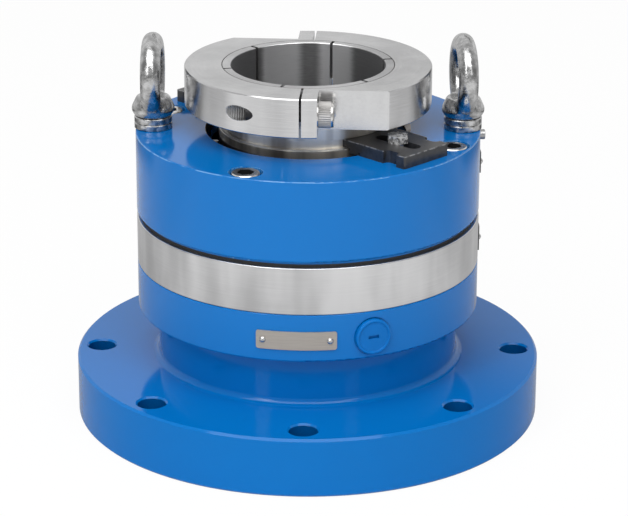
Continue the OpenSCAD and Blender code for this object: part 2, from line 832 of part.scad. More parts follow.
module tail_oring() {
    color(black) oring(tail_out_r + tail_oring_d / 2 - slide_gap / 2 + seat_gap,
        tail_oring_d - slide_gap, tail_groove_start + groove_w(tail_oring_d) / 2);
}

module guide_pins() {
    color(steel) guide_pin_places()
        translate([0, 0, flange_back - guide_pin_depth])
            cylinder(d = guide_pin_d, h = plate_start - flange_back + guide_pin_depth);
}

// Snap ring with two eared ends
module retaining_ring() {
    outer = chamber_r + retaining_depth;
    inner = outer - retaining_w;
    gap = 24;
    color(steel) translate([0, 0, retaining_start]) difference() {
        union() {
            rotate([0, 0, gap / 2]) rotate_extrude(angle = 360 - gap)
                translate([inner, 0]) square([retaining_w, retaining_t]);
            for (side = [-1, 1]) at_angle(side * gap / 2, inner + 1.5) cylinder(r = 5, h = retaining_t);
        }
        for (side = [-1, 1]) at_angle(side * gap / 2, inner + 1)
            translate([0, 0, -over]) cylinder(d = 3, h = retaining_t + 2 * over);
    }
}

// A coil spring swept along its helix from z0 to z1
module coil(mean_r, wire_r, z0, z1, turns) {
    steps = 8;
    sides = 5;
    rings = turns * steps;
    rise = (z1 - z0 - 2 * wire_r) / rings;
    points = [
        for (i = [0 : rings], j = [0 : sides - 1])
            let (a = 360 / steps * i, b = 360 / sides * j, r = mean_r + wire_r * cos(b))
            [r * cos(a), r * sin(a), z0 + wire_r + rise * i + wire_r * sin(b)]
    ];
    walls = [
        for (i = [0 : rings - 1], j = [0 : sides - 1], half = [0, 1])
            let (a = i * sides + j, b = i * sides + (j + 1) % sides)
            half == 0 ? [a, a + sides, b + sides] : [a, b + sides, b]
    ];
    start = [for (j = [0 : sides - 1]) j];
    finish = [for (j = [sides - 1 : -1 : 0]) rings * sides + j];
    polyhedron(points, concat([start], walls, [finish]), convexity = 8);
}

module springs() {
    color(bright) for (i = [0 : spring_count - 1]) at_angle(360 / spring_count * i, spring_r)
        coil((spring_d - spring_wire) / 2, spring_wire / 2, flange_back, pocket_end, spring_turns);
}

// Rotary rings, drawn with the sealing face at zero and the back at minus their height

module rotary_ring() {
    slot_in = 1.5 * drive_pin_d + slide_gap;
    slot_across = drive_pin_d + 2 * slide_gap;
    color(carbide) difference() {
        rotate_extrude() polygon([
            [rotary_in_r, -rotary_h], [rotary_out_r - rebate, -rotary_h],
            [rotary_out_r - rebate, rebate - rotary_h], [rotary_out_r, rebate - rotary_h],
            [rotary_out_r, 0], [rotary_in_r, 0]
        ]);
        at_angle(drive_pin_turn, drive_pin_r)
            translate([-drive_pin_d, -slot_across / 2, -rotary_h - over])
                cube([slot_in, slot_across, drive_pin_grip + over + 0.5]);
    }
}

module rotary_oring() {
    color(black) oring(rotary_out_r - rebate + rotary_oring_d / 2 + slide_gap, rotary_oring_d,
        rotary_oring_d / 2 + seat_gap - rotary_h);
}

// Rotor

module sleeve_section() {
    c = bore_chamfer;
    polygon([
        [shaft_r + c, sleeve_lift], [rotor_flange_r - c, sleeve_lift],
        [rotor_flange_r, sleeve_lift + c], [rotor_flange_r, sleeve_lift + sleeve_flange_t],
        [seat_r, sleeve_lift + sleeve_flange_t], [seat_r, inboard_seat_z],
        [sleeve_r, inboard_seat_z], [sleeve_r, clip_lip_z - clip_gap],
        [groove_r, clip_lip_z - clip_gap], [groove_r, top_z + clip_t + clip_gap],
        [sleeve_r, top_z + clip_t + clip_gap], [sleeve_r, sleeve_top_z - c / 2],
        [sleeve_r - c / 2, sleeve_top_z], [shaft_r + c, sleeve_top_z],
        [shaft_r, sleeve_top_z - c], [shaft_r, sleeve_lift + c]
    ]);
}

module shaft_sleeve() {
    color(steel) difference() {
        rotate_extrude() sleeve_section();
        for (i = [0, 1])
            tube(shaft_r - over, shaft_r + shaft_oring_d + seat_gap,
                shaft_oring_at(i) - groove_w(shaft_oring_d) / 2,
                shaft_oring_at(i) + groove_w(shaft_oring_d) / 2);
        tube(sleeve_r - collar_oring_d - seat_gap, sleeve_r + over / 2,
            collar_oring_z - groove_w(collar_oring_d) / 2,
            collar_oring_z + groove_w(collar_oring_d) / 2);
        for (i = [0 : slot_count - 1])
            rotate([0, 0, slot_turn + 360 / slot_count * i])
                translate([shaft_r - 2 * over, -slot_w / 2, slot_z])
                    cube([sleeve_wall + 4 * over, slot_w, slot_l + over]);
        at_angle(drive_pin_turn, drive_pin_r) translate([0, 0, inboard_seat_z - drive_pin_sink])
            cylinder(r = drive_pin_d / 2 + seat_gap, h = drive_pin_sink + over);
    }
}

module shaft_oring(i) {
    color(black) oring(shaft_r + shaft_oring_d / 2 + seat_gap, shaft_oring_d, shaft_oring_at(i));
}

module inboard_drive_pin() {
    color(steel) at_angle(drive_pin_turn, drive_pin_r)
        translate([0, 0, inboard_seat_z - drive_pin_sink])
            cylinder(d = drive_pin_d, h = drive_pin_sink + drive_pin_grip);
}

module outboard_drive_pin() {
    color(bright) at_angle(drive_pin_turn, drive_pin_r)
        translate([0, 0, outboard_seat_z - drive_pin_grip])
            cylinder(d = drive_pin_d, h = drive_pin_top - outboard_seat_z + drive_pin_grip);
}

module set_screw_places(radius) {
    step = 360 / set_screw_count;
    for (i = [0 : set_screw_count - 1]) radial(step * (i + 0.5), radius, set_screw_z) children();
}

module drive_collar() {
    color(steel) difference() {
        rotate_extrude() difference() {
            union() {
                turned_section(sleeve_r + seat_gap, rotor_flange_r, collar_z, collar_flange_top,
                    bore_chamfer, bore_chamfer);
                turned_section(sleeve_r + seat_gap, collar_nose_r, collar_flange_top - over, collar_top,
                    0.3, 0.4);
            }
            translate([rotary_in_r - 0.8, collar_z - over])
                square([seat_r - rotary_in_r + 0.8, seat_depth + over]);
        }
        set_screw_places(shaft_r) cylinder(d = set_screw_d, h = rotor_flange_r);
        at_angle(drive_pin_turn, drive_pin_r) translate([0, 0, collar_z])
            cylinder(r = drive_pin_d / 2 + seat_gap, h = collar_flange_t + over);
    }
}

module collar_oring() {
    color(black) oring(sleeve_r - collar_oring_d / 2, collar_oring_d, collar_oring_z);
}

module collar_set_screws() {
    color(steel) set_screw_places(sleeve_r + seat_gap) difference() {
        cylinder(r = set_screw_d / 2 - thread_gap, h = set_screw_l);
        translate([0, 0, set_screw_l - set_screw_d / 2])
            cylinder(d = set_screw_d / 2 / cos(30), h = set_screw_d, $fn = 6);
    }
}

// Ring on the sleeve whose slanted vanes drive the barrier fluid round
module pumping_ring() {
    color(bright) {
        tube(sleeve_r + seat_gap, pump_hub_r, pump_z, pump_z + pump_h);
        intersection() {
            tube(pump_hub_r - over, pump_out_r, pump_z, pump_z + pump_h);
            for (i = [0 : vane_count - 1])
                at_angle(360 / vane_count * i, pump_hub_r - 2 * over)
                    translate([0, 0, pump_z + pump_h / 2]) rotate([vane_slant, 0, 0])
                        translate([0, -vane_t / 2, -pump_h]) cube([pump_out_r, vane_t, 2 * pump_h]);
        }
    }
}

// One half of the clamp ring, drawn with the split along Y and its lug at the front
module clamp_half() {
    screw_z = clamp_z + clamp_h / 2;
    color(bright) difference() {
        rotate_extrude()
            chamfered_section(clamp_bore_r, clamp_r, clamp_z, sleeve_top_z, clamp_bevel);
        translate([-clamp_d, -clamp_d, clamp_z - over])
            cube([clamp_d + clamp_split / 2, 2 * clamp_d, clamp_h + 2 * over]);
        translate([clamp_lug_l, -clamp_d, clamp_z - over])
            cube([clamp_d, clamp_d - clamp_flat_r, clamp_h + 2 * over]);
        translate([0, -clamp_screw_r, screw_z]) rotate([0, 90, 0])
            cylinder(r = clamp_screw_d / 2 + through_gap, h = clamp_lug_l + over);
        translate([0, clamp_screw_r, screw_z]) rotate([0, 90, 0])
            cylinder(d = clamp_screw_d, h = clamp_r);
    }
}

module clamp_screw() {
    color(bright) translate([clamp_lug_l, -clamp_screw_r, clamp_z + clamp_h / 2])
        rotate([0, 90, 0]) cap_screw(clamp_screw_d, clamp_screw_l);
}

mounting_flange();
flange_oring();
housing_ring();
housing_ring_oring();
ring_gasket();
top_cover();
for (i = [0 : 3]) cover_screw(i);
eye_bolt(180, eye_turn_left);  // eye_bolt_left
eye_bolt(0, eye_turn_right);  // eye_bolt_right
eye_washers(180);  // eye_washers_left
eye_washers(0);  // eye_washers_right
clip(clip_turns[0]);  // clip_front
clip(clip_turns[1]);  // clip_back
clip_bolt(clip_turns[0]);  // clip_bolt_front
clip_bolt(clip_turns[1]);  // clip_bolt_back
curved_plate(label_turn, label_z, label_h);  // label_plate
drive_screws(label_turn, label_z);  // label_screws
curved_plate(side_turn, band_plate_z, band_plate_h);  // band_plate
drive_screws(side_turn, band_plate_z);  // band_plate_screws
curved_plate(side_turn, cover_plate_z, cover_plate_h);  // cover_plate
drive_screws(side_turn, cover_plate_z);  // cover_plate_screws
vent_screw();
port_plug(outlet_turn);  // outlet_plug
port_plug(inlet_turn);  // inlet_plug
inboard() carrier();  // inboard_carrier
inboard() carrier_oring();  // inboard_carrier_oring
inboard() tail_oring();  // inboard_tail_oring
inboard() springs();  // inboard_springs
inboard() guide_pins();  // inboard_guide_pins
inboard() retaining_ring();  // inboard_retaining_ring
inboard() seal_ring();  // inboard_seal_ring
outboard() carrier();  // outboard_carrier
outboard() carrier_oring();  // outboard_carrier_oring
outboard() tail_oring();  // outboard_tail_oring
outboard() springs();  // outboard_springs
outboard() guide_pins();  // outboard_guide_pins
outboard() retaining_ring();  // outboard_retaining_ring
outboard() seal_ring();  // outboard_seal_ring
shaft_sleeve();
shaft_oring(0);  // shaft_oring_lower
shaft_oring(1);  // shaft_oring_upper
inboard() rotary_ring();  // inboard_rotary_ring
inboard() rotary_oring();  // inboard_rotary_oring
inboard_drive_pin();
outboard() rotary_ring();  // outboard_rotary_ring
outboard() rotary_oring();  // outboard_rotary_oring
outboard_drive_pin();
drive_collar();
collar_oring();
collar_set_screws();
pumping_ring();
rotate([0, 0, clamp_turn + 180]) clamp_half();  // clamp_half_left
rotate([0, 0, clamp_turn]) clamp_half();  // clamp_half_right
rotate([0, 0, clamp_turn]) clamp_screw();  // clamp_screw_front
rotate([0, 0, clamp_turn + 180]) clamp_screw();  // clamp_screw_back
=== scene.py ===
import math

import bmesh
import bpy
from mathutils import Matrix, Vector


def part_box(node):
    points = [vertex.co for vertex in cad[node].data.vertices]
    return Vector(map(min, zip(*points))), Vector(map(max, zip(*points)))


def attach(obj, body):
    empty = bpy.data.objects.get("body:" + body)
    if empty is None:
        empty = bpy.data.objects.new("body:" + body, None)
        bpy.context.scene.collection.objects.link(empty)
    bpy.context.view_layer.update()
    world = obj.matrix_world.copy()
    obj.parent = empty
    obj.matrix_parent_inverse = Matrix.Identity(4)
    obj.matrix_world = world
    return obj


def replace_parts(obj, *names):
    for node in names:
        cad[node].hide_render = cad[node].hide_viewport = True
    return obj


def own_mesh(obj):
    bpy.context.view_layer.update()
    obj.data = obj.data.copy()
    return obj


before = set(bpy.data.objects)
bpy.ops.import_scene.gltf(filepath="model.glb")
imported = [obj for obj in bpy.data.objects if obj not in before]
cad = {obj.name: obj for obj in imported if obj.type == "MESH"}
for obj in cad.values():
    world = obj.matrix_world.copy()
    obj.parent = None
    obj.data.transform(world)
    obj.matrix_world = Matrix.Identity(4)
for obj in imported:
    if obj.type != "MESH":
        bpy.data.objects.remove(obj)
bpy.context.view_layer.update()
mm = 0.001
print("frame loaded", len(cad), "nodes")


# a shader socket that takes Python arithmetic

class Wire:
    def __init__(self, shader, socket):
        self.shader = shader
        self.socket = socket

    def math(self, operation, *others):
        return self.shader.node("ShaderNodeMath", {"operation": operation},
                                dict(enumerate((self,) + others)))

    def __add__(self, other): return self.math("ADD", other)
    def __radd__(self, other): return self.math("ADD", other)
    def __sub__(self, other): return self.math("SUBTRACT", other)
    def __mul__(self, other): return self.math("MULTIPLY", other)
    def __rmul__(self, other): return self.math("MULTIPLY", other)
    def __truediv__(self, other): return self.math("DIVIDE", other)
    def __pow__(self, other): return self.math("POWER", other)
    def __gt__(self, other): return self.math("GREATER_THAN", other)
    def __lt__(self, other): return self.math("LESS_THAN", other)

    def __rsub__(self, other):
        return self.shader.node("ShaderNodeMath", {"operation": "SUBTRACT"}, {0: other, 1: self})


# makes and joins the nodes of a material or of the world

class Nodes:
    def __init__(self, tree):
        self.tree = tree
        tree.nodes.clear()

    def join(self, target, value):
        if isinstance(value, Wire):
            self.tree.links.new(value.socket, target)
        else:
            target.default_value = value

    def node(self, kind, settings=None, sockets=None, out=0):
        made = self.tree.nodes.new(kind)
        for key, value in (settings or {}).items():
            setattr(made, key, value)
        for key, value in (sockets or {}).items():
            self.join(made.inputs[key], value)
        return Wire(self, made if out is None else made.outputs[out])

    def mix(self, factor, first, second):
        return self.node("ShaderNodeMix", {"data_type": "RGBA"},
                         {0: factor, 6: first, 7: second}, out=2)

    def ease(self, value, low, high, start=0.0, end=1.0):
        return self.node("ShaderNodeMapRange", {"interpolation_type": "SMOOTHSTEP"},
                         {"Value": value, "From Min": low, "From Max": high,
                          "To Min": start, "To Max": end})

    def noise(self, vector, scale, detail=2, roughness=0.5):
        return self.node("ShaderNodeTexNoise", {}, {"Vector": vector, "Scale": scale,
                                                    "Detail": detail, "Roughness": roughness})

    def xyz(self, vector):
        split = self.node("ShaderNodeSeparateXYZ", {}, {0: vector}).socket.node
        return [Wire(self, split.outputs[i]) for i in range(3)]

    def vector(self, x, y, z):
        return self.node("ShaderNodeCombineXYZ", {}, {0: x, 1: y, 2: z})

    def rays(self, *kinds):
        path = self.node("ShaderNodeLightPath").socket.node
        seen = Wire(self, path.outputs["Is Camera Ray"])
        for kind in kinds:
            seen = seen.math("MAXIMUM", Wire(self, path.outputs[kind]))
        return seen


class Shader(Nodes):
    def __init__(self, name):
        self.material = bpy.data.materials.new(name)
        self.material.use_nodes = True
        super().__init__(self.material.node_tree)
        self.surface = self.node("ShaderNodeBsdfPrincipled")
        self.output = self.node("ShaderNodeOutputMaterial", {}, {0: self.surface}, out=None).socket
        self.place = self.node("ShaderNodeTexCoord", out="Object")

    # noise that is drawn out along the shaft or flat round it
    def drawnNoise(self, across, upward, detail=3, roughness=0.5):
        x, y, z = self.xyz(self.place)
        return self.noise(self.vector(x * across, y * across, z * upward), 1, detail, roughness)

    def bump(self, height, depth, strength=1.0):
        return self.node("ShaderNodeBump", {},
                         {"Strength": strength, "Distance": depth, "Height": height})

    def finish(self, **sockets):
        for key, value in sockets.items():
            self.join(self.surface.socket.node.inputs[key.replace("_", " ")], value)
        return self.material


def middleOf(node):
    low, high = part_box(node)
    return (low + high) / 2


def topOf(node):
    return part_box(node)[1][2]


def grey(level):
    return (level, level, level, 1)


weld = 0.001 * mm   # corners closer than this are one
under = 0.2 * mm    # the painted shade inside a socket starts this far under its rim
skin = 0.1 * mm     # and the colour inside a tapped hole this far under the ring's outside

clampScrew = {
    "turn": -3.5,               # degrees, as the whole clamp ring
    "reach": 69.25 * mm,        # from the shaft's axis to the screw's
    "lugFace": 10.5 * mm,       # along the screw, from the split
    "headEnd": 20.5 * mm,
    "head": 16.0 * mm,
    "socket": 4.96 * mm,
    "knurlStart": 0.4 * mm,
    "knurlLength": 8.2 * mm,
    "knurlEdge": 0.3 * mm,
    "knurlWall": 1.2 * mm,
    "teeth": 38,
    "toothDepth": 0.4 * mm,
    "clampRadius": 80 * mm,
    "flush": 0.02 * mm,
    "hole": 5.05 * mm,          # radius, as the next three
    "crest": 4.3 * mm,
    "root": 4.85 * mm,
    "shell": 4.97 * mm,
    "pitch": 1.5 * mm,
    "firstTurn": 33 * mm,
    "turns": 11,
    "spinSteps": 40,
    "discSegments": 256,
    "discHeight": 100 * mm,
}

coverScrew = {
    "nodes": ["cover_screw_%d" % i for i in (1, 2, 3, 4)],
    "socket": 5.75 * mm,
    "counterbore": 10.6 * mm,
}


# finishes: a scale is a noise scale, a level the two noise values that a patch fades between

bluePaint = {
    "light": (0.0006, 0.158, 0.50, 1),
    "deep": (0.0004, 0.142, 0.46, 1),
    "cloudScale": 9,
    "roughness": 0.07,
    "cloudRoughness": 0.05,
    "specular": 0.26,
    "peelScale": 300,
    "peelDepth": 0.02 * mm,
    "peelStrength": 0.3,
}

flangeHoles = {
    "count": 8,
    "turn": -0.9,       # degrees
    "circle": 137.5 * mm,
    "wall": 9.2 * mm,
    "top": 38 * mm,
    "shadow": (0.0, 0.03, 0.14, 1),
    "share": 0.6,
}

coverWearAndLight = {
    "chipped": (0.10, 0.30, 0.60, 1),   # round the screws
    "chipScale": 500,
    "chipLevel": (0.42, 0.60),
    "chipReach": (0.2 * mm, 0.9 * mm),
    "edgeHighlight": (0.17, 0.36, 0.62, 1),   # painted highlight along the top edge
    "highlightScale": 90,
    "highlightLevel": (0.40, 0.56),
    "highlightInset": (0.5 * mm, 0.1 * mm),
    "highlightDrop": (0.9 * mm, 0.4 * mm),
    "bareShaded": (0.10, 0.08, 0.07, 1),      # unpainted metal inside the opening, darkened as painted shade
    "bareRadius": 67.0 * mm,
    "bareHeight": 188 * mm,
    "bareRoughness": 0.06,
    "bareMetal": 0.9,
}


# how far a point lies from the nearest cover screw's axis
def screwReach(x, y):
    nearest = None
    for node in coverScrew["nodes"]:
        middle = middleOf(node)
        reach = ((x - middle[0]) ** 2 + (y - middle[1]) ** 2) ** 0.5
        nearest = reach if nearest is None else nearest.math("MINIMUM", reach)
    return nearest


# the bolt holes' walls lie in the shade
def shadeHoles(s, colour, x, y, z, radius):
    spacing = 360 / flangeHoles["count"]
    turned = y.math("ARCTAN2", x) * math.degrees(1) - flangeHoles["turn"]
    beside = ((turned / spacing + 0.5).math("FRACT") - 0.5) * math.radians(spacing) * radius
    outward = radius - flangeHoles["circle"]
    inHole = (beside * beside + outward * outward) ** 0.5 < flangeHoles["wall"]
    inHole = inHole * (z < flangeHoles["top"])
    return s.mix(inHole * flangeHoles["share"], colour, flangeHoles["shadow"])


def wearAndLightOnCover(s, colour, x, y, z, radius):
    wear = coverWearAndLight
    outer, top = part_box("top_cover")[1][1], topOf("top_cover")
    chips = s.ease(s.noise(s.place, wear["chipScale"], detail=3), *wear["chipLevel"])
    rim = (screwReach(x, y) - coverScrew["counterbore"]).math("ABSOLUTE")
    colour = s.mix(chips * s.ease(rim, *wear["chipReach"], 1.0, 0.0), colour, wear["chipped"])
    # painted highlight: a lighter line along the cover's top edge, broken up by noise
    edge = s.ease(radius, *(outer - inset for inset in wear["highlightInset"]))
    edge = edge * s.ease(z, *(top - drop for drop in wear["highlightDrop"]))
    highlightBreaks = s.ease(s.noise(s.place, wear["highlightScale"], detail=4), *wear["highlightLevel"])
    return s.mix(edge * highlightBreaks, colour, wear["edgeHighlight"])


def makeBluePaint(name, onCover):
    paint = bluePaint
    s = Shader(name)
    x, y, z = s.xyz(s.place)
    radius = (x * x + y * y) ** 0.5
    cloud = s.noise(s.place, paint["cloudScale"], detail=3)
    colour = s.mix(cloud, paint["light"], paint["deep"])
    roughness = paint["roughness"] + paint["cloudRoughness"] * cloud
    metallic = 0.0
    if onCover:
        colour = wearAndLightOnCover(s, colour, x, y, z, radius)
        # unpainted metal in the opening, its dark colour painted shade of the gap below the
        # cover's top
        bareShaded = (radius < coverWearAndLight["bareRadius"]) * (z > coverWearAndLight["bareHeight"])
        colour = s.mix(bareShaded, colour, coverWearAndLight["bareShaded"])
        roughness = roughness + coverWearAndLight["bareRoughness"] * bareShaded
        metallic = bareShaded * coverWearAndLight["bareMetal"]
    else:
        colour = shadeHoles(s, colour, x, y, z, radius)
    peel = s.noise(s.place, paint["peelScale"])
    return s.finish(Base_Color=colour, Roughness=roughness, Metallic=metallic,
                    Specular_IOR_Level=paint["specular"],
                    Normal=s.bump(peel, paint["peelDepth"], paint["peelStrength"]))


# sleeve, collar, band and clamp have fine lathe marks round the axis
turnedSteel = {
    "light": (0.70, 0.70, 0.705, 1),
    "dark": (0.46, 0.46, 0.465, 1),
    "thread": grey(0.62),
    "shadeColour": (0.022, 0.016, 0.013, 1),
    "markScale": (2600, 2),     # across the marks, and round the axis
    "bandScale": (900, 6),
    "patchScale": 20,
    "uprightScale": (24, 5),
    "markShare": 0.35,
    "bandShare": 0.15,
    "patchShare": 0.5,
    "halfRange": 0.25,
    "patchRoughness": 0.10,
    "groove": 0.01 * mm,
}

# painted reflection: the honed bore gets broad light and dark stripes along it, placed by degrees
# from +X
bore = {
    "light": (0.98, 0.98, 0.99, 1),
    "dark": (0.28, 0.28, 0.285, 1),
    "wall": (50.1 * mm, 50.4 * mm),
    "roughness": 0.14,
    "stripeStart": (50, 60),
    "stripeEnd": (123, 131),
    "gapAt": 89,
    "gapWidth": (3, 12),
    "gapLevel": 0.12,
    "bandShare": 0.5,
    "uprightShare": 0.4,
    "range": (-0.1, 1.1),
}

# outside, between clamp and cover, the steel is dull with streaks whose light colour is painted
# light, and painted shade darkens the foot
neckSteel = {
    "light": (0.98, 0.93, 0.84, 1),
    "dark": (0.34, 0.315, 0.285, 1),
    "depth": (0.4 * mm, 0.1 * mm),
    "streakScale": (70, 3),
    "streakLevel": (0.36, 0.62),
    "ragged": 0.6 * mm,
    "fade": 1.2 * mm,
    "lessMetal": 0.15,
    "footShadeLessMetal": 0.6,
}
sleeveNeck = {"radius": 53.0 * mm, "top": 212 * mm, "foot": 190 * mm, "dull": 0.16}
collarNeck = {"radius": 58.0 * mm, "top": 196 * mm, "foot": 189.4 * mm, "dull": 0.04}

# painted shade: a dark line along the joint between sleeve and clamp
seam = {"radius": 55.72 * mm, "inner": 0.2 * mm, "outer": 0.4 * mm, "foot": 234.6 * mm}


def paintedBoreReflection(s, angle, bands, upright):
    side = angle.math("ABSOLUTE") * math.degrees(1)
    stripes = s.ease(side, *bore["stripeStart"]) * s.ease(side, *bore["stripeEnd"], 1.0, 0.0)
    fromGap = (side - bore["gapAt"]).math("ABSOLUTE")
    stripes = stripes * s.ease(fromGap, *bore["gapWidth"], bore["gapLevel"], 1.0)
    level = stripes + bore["bandShare"] * (bands - 0.5) + bore["uprightShare"] * (upright - 0.5)
    return s.mix(s.ease(level, *bore["range"]), bore["dark"], bore["light"])


def makeTurnedSteel(name, roughness, anisotropic=0.0, contrast=1.0, blotch=0.0, neck=None,
                    bored=False, tapped=False, shadedSeam=False):
    steel = turnedSteel
    s = Shader(name)
    x, y, z = s.xyz(s.place)
    radius = (x * x + y * y) ** 0.5
    angle = y.math("ARCTAN2", x)
    across, around = steel["markScale"]
    marks = s.noise(s.vector(radius * across, z * across, angle * around), 1,
                    detail=3, roughness=0.7)
    across, around = steel["bandScale"]
    bands = s.noise(s.vector(radius * across, z * across, angle * around), 1,
                    detail=3, roughness=0.6)
    patches = s.noise(s.place, steel["patchScale"], detail=3)
    upright = s.drawnNoise(*steel["uprightScale"], roughness=0.6)
    shade = marks * steel["markShare"] + bands * steel["bandShare"]
    shade = shade + patches * steel["patchShare"] + blotch * (upright - 0.5)
    half = steel["halfRange"] / contrast
    colour = s.mix(s.ease(shade, 0.5 - half, 0.5 + half), steel["dark"], steel["light"])
    rough = roughness + steel["patchRoughness"] * patches
    metallic = 1.0
    if bored:
        # painted reflection stripes on the wall inside the bore
        inside = s.ease(radius, *bore["wall"], 1.0, 0.0)
        colour = s.mix(inside, colour, paintedBoreReflection(s, angle, bands, upright))
        rough = rough + bore["roughness"] * inside
    if neck:
        outside = s.ease(radius, *(neck["radius"] - depth for depth in neckSteel["depth"]))
        outside = outside * (z < neck["top"])
        # painted light: the streaks' light colour is brightened against the shade under the clamp
        streaks = s.drawnNoise(*neckSteel["streakScale"], detail=2)
        streaks = s.ease(streaks, *neckSteel["streakLevel"])
        dull = s.mix(streaks, neckSteel["dark"], neckSteel["light"])
        # painted shade at the foot, where the steel goes down into the cover's opening
        footShade = s.ease(z + neckSteel["ragged"] * patches,
                      neck["foot"], neck["foot"] + neckSteel["fade"], 1.0, 0.0)
        colour = s.mix(outside, colour, s.mix(footShade, dull, steel["shadeColour"]))
        rough = rough + neck["dull"] * outside
        lost = neckSteel["lessMetal"] + neckSteel["footShadeLessMetal"] * footShade
        metallic = metallic - outside * lost
    if tapped:
        hole = screwDistance(x, y, z) < clampScrew["hole"]
        hole = hole * (radius < clampScrew["clampRadius"] - skin)
        colour = s.mix(hole, colour, steel["thread"])
    if shadedSeam:
        # painted shade in the joint between sleeve and clamp
        beside = (radius - seam["radius"]).math("ABSOLUTE")
        line = s.ease(beside, seam["inner"], seam["outer"], 1.0, 0.0) * (z > seam["foot"])
        colour = s.mix(line, colour, steel["shadeColour"])
    return s.finish(Base_Color=colour, Metallic=metallic, Roughness=rough, Anisotropic=anisotropic,
                    Normal=s.bump(marks * steel["groove"], 1.0))


# along and across the clamp screws
def clampAxes(x, y):
    turn = math.radians(clampScrew["turn"])
    return x * math.cos(turn) + y * math.sin(turn), y * math.cos(turn) - x * math.sin(turn)


# how far a point lies from the nearer clamp screw's axis
def screwDistance(x, y, z):
    beside = clampAxes(x, y)[1].math("ABSOLUTE") - clampScrew["reach"]
    above = z - middleOf("clamp_screw_front")[2]
    return (beside * beside + above * above) ** 0.5


# drop forged eyes: mottled scale, soft lumps and small pits
forgedSteel = {
    "dark": grey(0.36),
    "light": grey(0.62),
    "mottleScale": 190,
    "mottleLevel": (0.35, 0.65),
    "roughness": 0.19,
    "mottleRoughness": 0.12,
    "lumpScale": 115,
    "lumpDepth": 0.6 * mm,
    "pitScale": 900,
    "pitDepth": 0.03 * mm,
    "reliefStrength": 0.8,
}


def makeForged(name):
    steel = forgedSteel
    s = Shader(name)
    mottle = s.noise(s.place, steel["mottleScale"], detail=4, roughness=0.6)
    mottle = s.ease(mottle, *steel["mottleLevel"])
    lumps = s.noise(s.place, steel["lumpScale"], detail=3, roughness=0.6) * steel["lumpDepth"]
    pits = s.noise(s.place, steel["pitScale"]) * steel["pitDepth"]
    return s.finish(Base_Color=s.mix(mottle, steel["dark"], steel["light"]), Metallic=1.0,
                    Roughness=steel["roughness"] + steel["mottleRoughness"] * mottle,
                    Normal=s.bump(lumps + pits, 1.0, steel["reliefStrength"]))


plainMetal = {
    "patchLevel": (0.38, 0.62),
    "mottleRoughness": 0.12,
    "grainStrength": 0.7,
}


# darkest is the share of the base colour that the darkest spots keep
def makePlainMetal(name, base, roughness, metallic=1.0, grain=900, depth=0.01 * mm,
                   mottle=160, darkest=0.8, patchy=False):
    s = Shader(name)
    blotch = s.noise(s.place, mottle, detail=3)
    if patchy:
        blotch = s.ease(blotch, *plainMetal["patchLevel"])
    darker = tuple(darkest * c for c in base[:3]) + (1,)
    return s.finish(Base_Color=s.mix(blotch, darker, base), Metallic=metallic,
                    Roughness=roughness + plainMetal["mottleRoughness"] * blotch,
                    Normal=s.bump(s.noise(s.place, grain), depth, plainMetal["grainStrength"]))


# bright screws with painted shade, in black, in the socket and on the shank where it crosses the
# clamp's split
screwSteel = {
    "dark": (0.60, 0.59, 0.57, 1),
    "light": (0.80, 0.79, 0.77, 1),
    "black": (0.012, 0.012, 0.013, 1),
    "shadeLessMetal": 0.6,
    "shadeRoughness": 0.25,
    "roughness": 0.20,
    "mottleScale": 160,
    "mottleRoughness": 0.12,
    "grainScale": 1100,
    "grainDepth": 0.01 * mm,
    "grainStrength": 0.7,
}


def makeScrewSteel(name, shadedPart):
    steel = screwSteel
    s = Shader(name)
    # painted shade: black in the socket and on the shank in the clamp's split
    black = shadedPart(*s.xyz(s.place))
    blotch = s.noise(s.place, steel["mottleScale"], detail=3)
    grain = s.noise(s.place, steel["grainScale"])
    bright = s.mix(blotch, steel["dark"], steel["light"])
    roughness = steel["roughness"] + steel["mottleRoughness"] * blotch
    return s.finish(Base_Color=s.mix(black, bright, steel["black"]),
                    Metallic=1 - steel["shadeLessMetal"] * black,
                    Roughness=roughness + steel["shadeRoughness"] * black,
                    Normal=s.bump(grain, steel["grainDepth"], steel["grainStrength"]))


def socketShade(x, y, z):
    return (screwReach(x, y) < coverScrew["socket"]) * (z < topOf("cover_screw_1") - under)


def shankShade(x, y, z):
    along, across = clampAxes(x, y)
    toHead = along * (1 - 2 * (across > 0))
    inSocket = screwDistance(x, y, z) < clampScrew["socket"]
    inSocket = inSocket * (toHead < clampScrew["headEnd"] - under)
    return inSocket.math("MAXIMUM", toHead < clampScrew["lugFace"])


# the clips' black finish is worn off along their top edges: a lighter line, partly wear and partly
# painted highlight
blackSteel = {
    "deep": (0.010, 0.010, 0.011, 1),
    "faded": (0.070, 0.070, 0.072, 1),
    "rubbedAndLit": grey(0.34),
    "blotchScale": 240,
    "metallic": 0.35,
    "specular": 0.7,
    "roughness": 0.24,
    "blotchRoughness": 0.12,
    "grainScale": 1500,
    "grainDepth": 0.02 * mm,
    "grainStrength": 0.6,
    "turn": -44.3,  # degrees
    "halfWidth": 20.25 * mm,
    "end": 103.6 * mm,
    "wear": 0.9 * mm,
    "rubAndLightScale": 300,
    "rubAndLightLevel": (0.40, 0.58),
}


